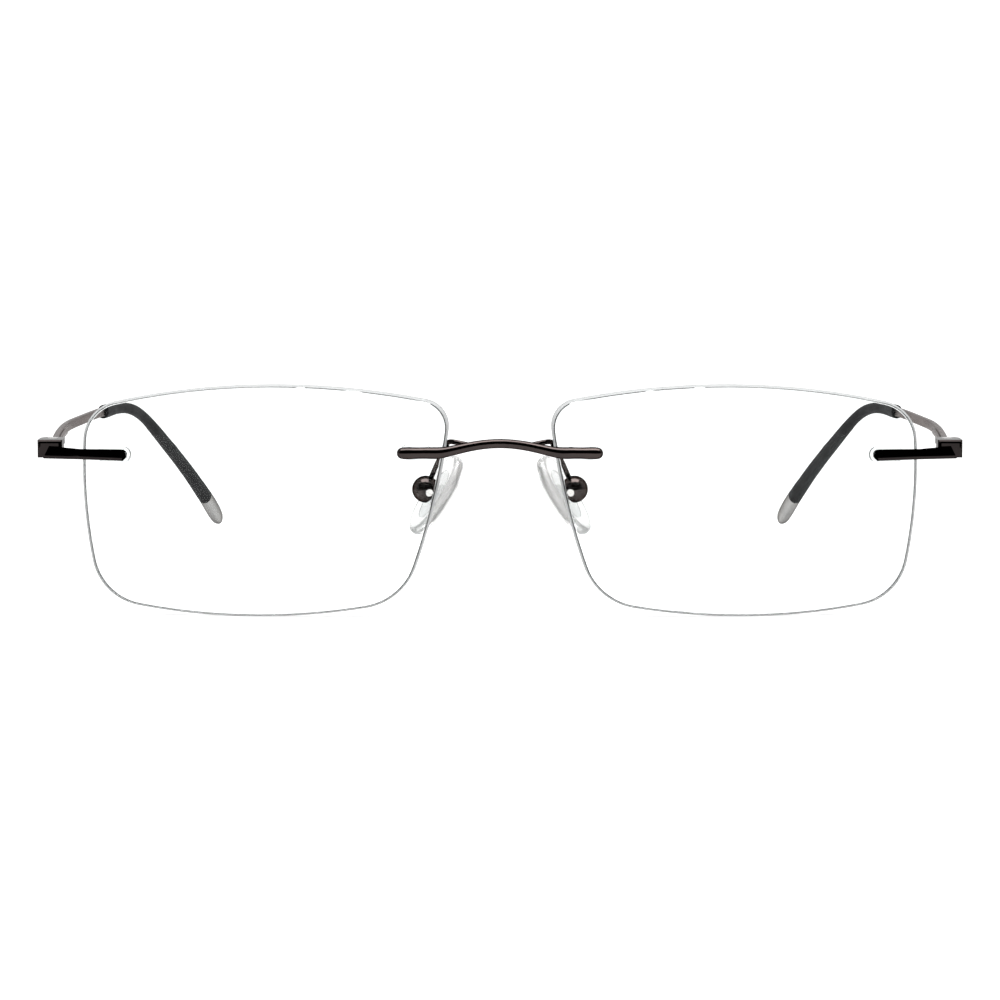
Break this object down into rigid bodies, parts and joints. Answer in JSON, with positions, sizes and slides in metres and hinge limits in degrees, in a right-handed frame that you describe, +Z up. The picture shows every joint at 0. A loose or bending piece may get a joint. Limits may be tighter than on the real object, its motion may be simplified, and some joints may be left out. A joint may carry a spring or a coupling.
{
  "type": "rimless eyeglasses",
  "caption": "Rimless eyeglasses with rounded rectangular lenses, wire bridge, drilled mounts, clear nose pads on looped arms and folding temples with dark tip sleeves.",
  "frame": {"origin": "middle of the box at its base: the glasses stand open on their lens bottoms and temple tips on z = 0", "axes": "+X to the wearer's left, +Y from the lenses back to the ears, +Z up; the lenses face -Y"},
  "size_m": [0.1406, 0.1364, 0.035],
  "materials": {
    "lens_cr39": "clear polished demo lens",
    "gunmetal": "polished gunmetal plating",
    "gunmetal_satin": "satin gunmetal plating",
    "steel_pin": "drawn wire",
    "steel_screw": "turned and slotted",
    "clear_nylon": "clear moulded plastic",
    "clear_core": "clear moulded plastic",
    "clear_silicone": "clear soft silicone",
    "black_rubber": "matt rubberised",
    "silver_cap": "satin"
  },
  "bodies": {
    "front": {"bridge": "gunmetal", "left_bridge_pins": "steel_pin", "left_bridge_plug": "clear_nylon", "left_end_piece": "gunmetal", "left_end_pins": "steel_pin", "left_end_plug": "clear_nylon", "left_hinge_screw": "steel_screw", "left_lens": "lens_cr39", "left_pad_arm": "gunmetal", "left_pad_cup": "gunmetal", "left_pad_screw": "steel_screw", "right_bridge_pins": "steel_pin", "right_bridge_plug": "clear_nylon", "right_end_piece": "gunmetal", "right_end_pins": "steel_pin", "right_end_plug": "clear_nylon", "right_hinge_screw": "steel_screw", "right_lens": "lens_cr39", "right_pad_arm": "gunmetal", "right_pad_cup": "gunmetal", "right_pad_screw": "steel_screw"},
    "left_temple": {"left_temple": "gunmetal_satin", "left_hinge_leaf": "gunmetal_satin", "left_temple_sleeve": "black_rubber", "left_tip_cap": "silver_cap"},
    "right_temple": {"right_temple": "gunmetal_satin", "right_hinge_leaf": "gunmetal_satin", "right_temple_sleeve": "black_rubber", "right_tip_cap": "silver_cap"},
    "left_pad": {"left_nose_pad": "clear_silicone", "left_pad_core": "clear_core"},
    "right_pad": {"right_nose_pad": "clear_silicone", "right_pad_core": "clear_core"}
  },
  "joints": [
    {"name": "left_temple_hinge", "type": "hinge", "parent": "front", "child": "left_temple", "pos_m": [0.06775, -0.05621, 0.02502], "axis": [0, 0, 1], "range_deg": [0, 82]},
    {"name": "right_temple_hinge", "type": "hinge", "parent": "front", "child": "right_temple", "pos_m": [-0.06775, -0.05621, 0.02502], "axis": [0, 0, -1], "range_deg": [0, 76]},
    {"name": "left_pad_rock", "type": "hinge", "parent": "front", "child": "left_pad", "pos_m": [0.0113, -0.05781, 0.01877], "axis": [0.29, 0.9397, 0.1812], "range_deg": [-6, 6]},
    {"name": "right_pad_rock", "type": "hinge", "parent": "front", "child": "right_pad", "pos_m": [-0.0113, -0.05781, 0.01877], "axis": [0.29, -0.9397, -0.1812], "range_deg": [-6, 6]}
  ]
}
